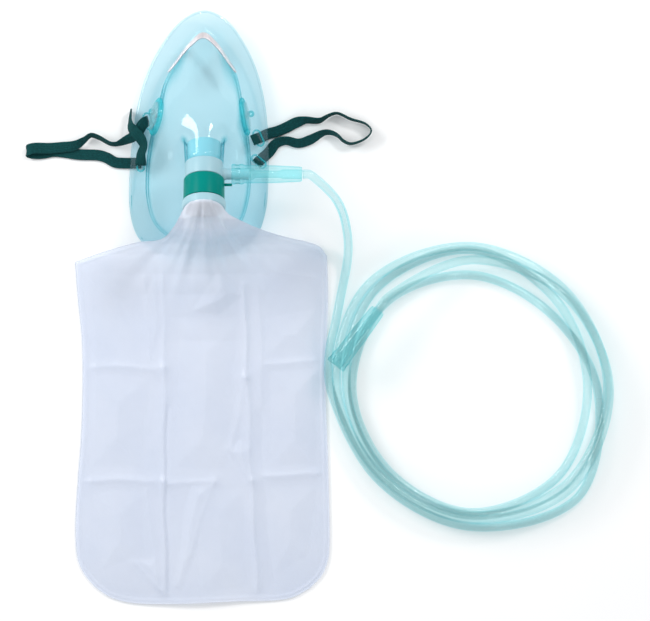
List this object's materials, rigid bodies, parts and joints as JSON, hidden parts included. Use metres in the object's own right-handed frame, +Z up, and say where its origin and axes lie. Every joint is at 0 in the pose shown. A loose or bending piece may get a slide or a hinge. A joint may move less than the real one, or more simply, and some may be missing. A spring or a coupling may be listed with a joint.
{
  "type": "oxygen mask with reservoir bag",
  "caption": "Soft clear face mask with a side-fed tee, one-way valves, flat reservoir bag, two elastic straps and coiled oxygen tubing with push-on connectors.",
  "frame": {"origin": "on the table, under the middle of the object's box measured without its oxygen tubing", "axes": "+X to the right towards the tubing, +Y from the bag towards the nose end of the mask, +Z up from the table"},
  "size_m": [0.3534, 0.3561, 0.0729],
  "materials": {
    "clear_teal_pvc": "clear soft PVC with a blue-green tint, glossy",
    "teal_plastic": "opaque satin teal-green moulding",
    "milky_plastic": "milky translucent moulding",
    "silicone": "thin pale silicone",
    "aluminium": "soft rolled aluminium strip",
    "elastic": "ribbed dark green knitted elastic",
    "bag_film": "frosted thin film with heat-welded edges"
  },
  "bodies": {
    "supply": {"tee_housing": "milky_plastic", "valve_body": "teal_plastic", "bag_neck_ring": "milky_plastic", "reservoir_bag": "bag_film", "mask_connector": "clear_teal_pvc", "tubing_lead": "clear_teal_pvc", "tubing_coil": "clear_teal_pvc", "supply_connector": "clear_teal_pvc"},
    "mask": {"mask_shell": "clear_teal_pvc", "nose_clip": "aluminium", "strap_left": "elastic", "strap_right": "elastic"},
    "check_valve": {"check_valve_disc": "silicone"},
    "exhalation_valve_left": {"exhalation_disc_left": "silicone"},
    "exhalation_valve_right": {"exhalation_disc_right": "silicone"}
  },
  "joints": [
    {"name": "mask_swivel", "type": "hinge", "parent": "supply", "child": "mask", "pos_m": [0.0038, 0.0993, 0.042], "axis": [0, -0.9063, 0.4226], "range_deg": [-10, 10]},
    {"name": "check_valve_lift", "type": "slide", "parent": "supply", "child": "check_valve", "axis": [0, 0.9063, -0.4226], "range_m": [0, 0.0015], "stiffness_N_per_m": 20},
    {"name": "exhalation_lift_left", "type": "slide", "parent": "mask", "child": "exhalation_valve_left", "axis": [-0.9519, 0.2051, 0.2277], "range_m": [0, 0.0015], "stiffness_N_per_m": 20},
    {"name": "exhalation_lift_right", "type": "slide", "parent": "mask", "child": "exhalation_valve_right", "axis": [0.9802, 0.1672, 0.1057], "range_m": [0, 0.0015], "stiffness_N_per_m": 20}
  ]
}
